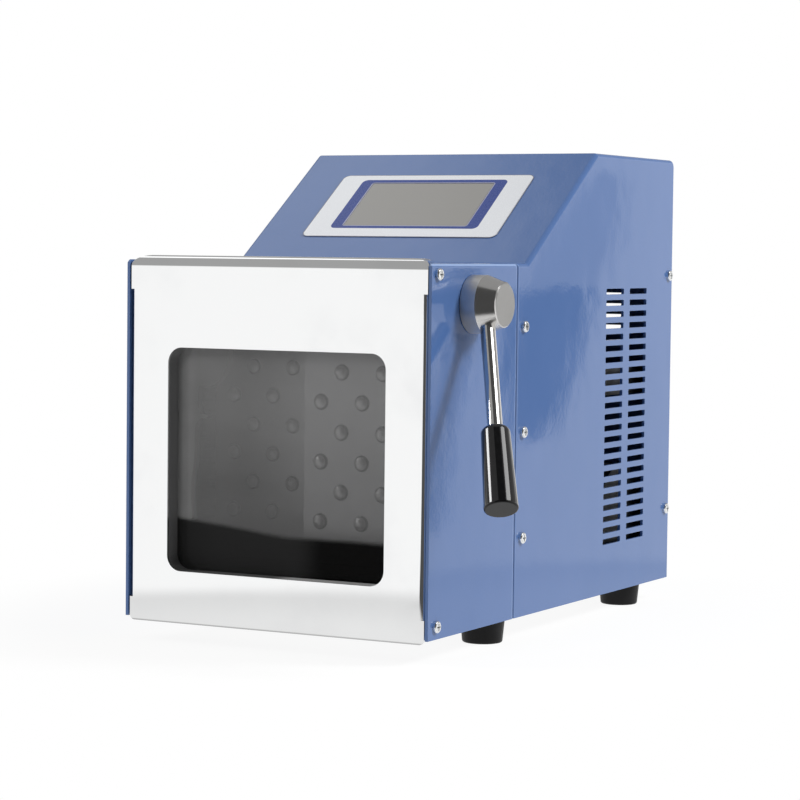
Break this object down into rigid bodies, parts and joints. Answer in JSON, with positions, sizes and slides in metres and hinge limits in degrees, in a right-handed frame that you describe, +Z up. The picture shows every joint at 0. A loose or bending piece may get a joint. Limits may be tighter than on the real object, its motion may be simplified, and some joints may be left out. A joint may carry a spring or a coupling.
{
  "type": "paddle blender homogenizer",
  "caption": "Bench paddle blender with a mirror-finish drop-down door and dark window, studded paddles, side latch lever, sloping touch-screen console and vented blue housing",
  "frame": {"origin": "on the standing plane, under the middle of the housing footprint", "axes": "+Z up, +Y towards the rear panel, +X towards the lever side"},
  "size_m": [0.2861, 0.4061, 0.32],
  "materials": {
    "blue_paint": "semi-gloss powder coat",
    "mirror_door": "mirror-polished stainless sheet",
    "sheet_steel": "zinc-plated steel sheet",
    "chamber_steel": "polished stainless sheet",
    "paddle_steel": "satin stainless",
    "hub_aluminium": "turned, satin",
    "lever_chrome": "chromed",
    "screw_steel": "plated",
    "black_plastic": "glossy black",
    "matt_black": "matt black",
    "dark_glass": "tinted pane",
    "screen_glass": "touch screen, switched off",
    "label_foil": "printed foil, white with a blue frame",
    "plate_foil": "bare plate",
    "rubber_black": "black rubber",
    "bush_bronze": "bearing bronze",
    "bearing_steel": "bearing steel",
    "motor_grey": "grey machine paint",
    "board_green": "circuit board"
  },
  "bodies": {
    "chassis": {"front_cover": "blue_paint", "rear_casing": "blue_paint", "rear_panel": "blue_paint", "base_plate": "sheet_steel", "chamber_bulkhead": "sheet_steel", "top_rail": "sheet_steel", "motor_bracket": "sheet_steel", "board_bracket": "sheet_steel", "chamber_liner": "chamber_steel", "drip_tray": "chamber_steel", "bag_clamp_bar": "chamber_steel", "bearing_stands": "hub_aluminium", "casing_screws": "screw_steel", "front_screws": "screw_steel", "hinge_screws": "screw_steel", "foot_screws": "screw_steel", "display_module": "matt_black", "power_inlet": "matt_black", "fuse_drawer": "matt_black", "switch_housing": "matt_black", "touch_screen": "screen_glass", "console_label": "label_foil", "rating_plate": "plate_foil", "feet": "rubber_black", "drive_belt": "rubber_black", "bag_clamp_rubber": "rubber_black", "shaft_bushes": "bush_bronze", "guide_bushes": "bush_bronze", "shaft_bearings": "bearing_steel", "motor": "motor_grey", "power_supply": "motor_grey", "control_board": "board_green"},
    "door": {"door_panel": "mirror_door", "door_frame": "matt_black", "window_pane": "dark_glass", "pane_retainer": "sheet_steel", "retainer_screws": "screw_steel", "hinge_brackets": "sheet_steel", "door_clamp_bar": "chamber_steel", "door_clamp_rubber": "rubber_black", "striker_brackets": "sheet_steel", "striker_pins": "paddle_steel"},
    "lever": {"lever_hub": "hub_aluminium", "lever_rod": "lever_chrome", "lever_grip": "black_plastic", "latch_shaft": "paddle_steel", "latch_hooks": "hub_aluminium"},
    "right_paddle": {"paddle_right": "paddle_steel", "push_rods_right": "paddle_steel", "crosshead_right": "hub_aluminium"},
    "left_paddle": {"paddle_left": "paddle_steel", "push_rods_left": "paddle_steel", "crosshead_left": "hub_aluminium"},
    "crank": {"crankshaft": "paddle_steel", "crank_pulley": "hub_aluminium"},
    "right_link": {"connecting_rod_right": "hub_aluminium"},
    "left_link": {"connecting_rod_left": "hub_aluminium"},
    "rotor": {"motor_shaft": "paddle_steel", "motor_pulley": "hub_aluminium"},
    "power_rocker": {"rocker": "matt_black"}
  },
  "joints": [
    {"name": "door_swing", "type": "hinge", "parent": "chassis", "child": "door", "pos_m": [0, -0.1814, 0.0229], "axis": [1, 0, 0], "range_deg": [0, 90]},
    {"name": "lever_turn", "type": "hinge", "parent": "chassis", "child": "lever", "pos_m": [0, -0.1368, 0.2193], "axis": [1, 0, 0], "range_deg": [0, 45]},
    {"name": "right_paddle_slide", "type": "slide", "parent": "chassis", "child": "right_paddle", "axis": [0, -1, 0], "range_m": [-0.0383, 0.0007]},
    {"name": "left_paddle_slide", "type": "slide", "parent": "chassis", "child": "left_paddle", "axis": [0, -1, 0], "range_m": [-0.0007, 0.0383]},
    {"name": "crank_spin", "type": "hinge", "parent": "chassis", "child": "crank", "pos_m": [0, 0.05898, 0.132], "axis": [1, 0, 0], "continuous": true},
    {"name": "right_link_pivot", "type": "hinge", "parent": "crank", "child": "right_link", "pos_m": [0, 0.04018, 0.13718], "axis": [1, 0, 0], "continuous": true},
    {"name": "left_link_pivot", "type": "hinge", "parent": "crank", "child": "left_link", "pos_m": [0, 0.07778, 0.12682], "axis": [1, 0, 0], "continuous": true},
    {"name": "rotor_spin", "type": "hinge", "parent": "chassis", "child": "rotor", "pos_m": [0, 0.1234, 0.064], "axis": [1, 0, 0], "continuous": true},
    {"name": "rocker_tip", "type": "hinge", "parent": "chassis", "child": "power_rocker", "pos_m": [-0.018, 0.1851, 0.066], "axis": [1, 0, 0], "range_deg": [-18, 0]}
  ],
  "couplings": [
    {"joint": "left_paddle_slide", "follows": "right_paddle_slide", "ratio": -1},
    {"joint": "right_link_pivot", "follows": "crank_spin", "ratio": -1},
    {"joint": "left_link_pivot", "follows": "crank_spin", "ratio": -1},
    {"joint": "rotor_spin", "follows": "crank_spin", "ratio": 3}
  ]
}
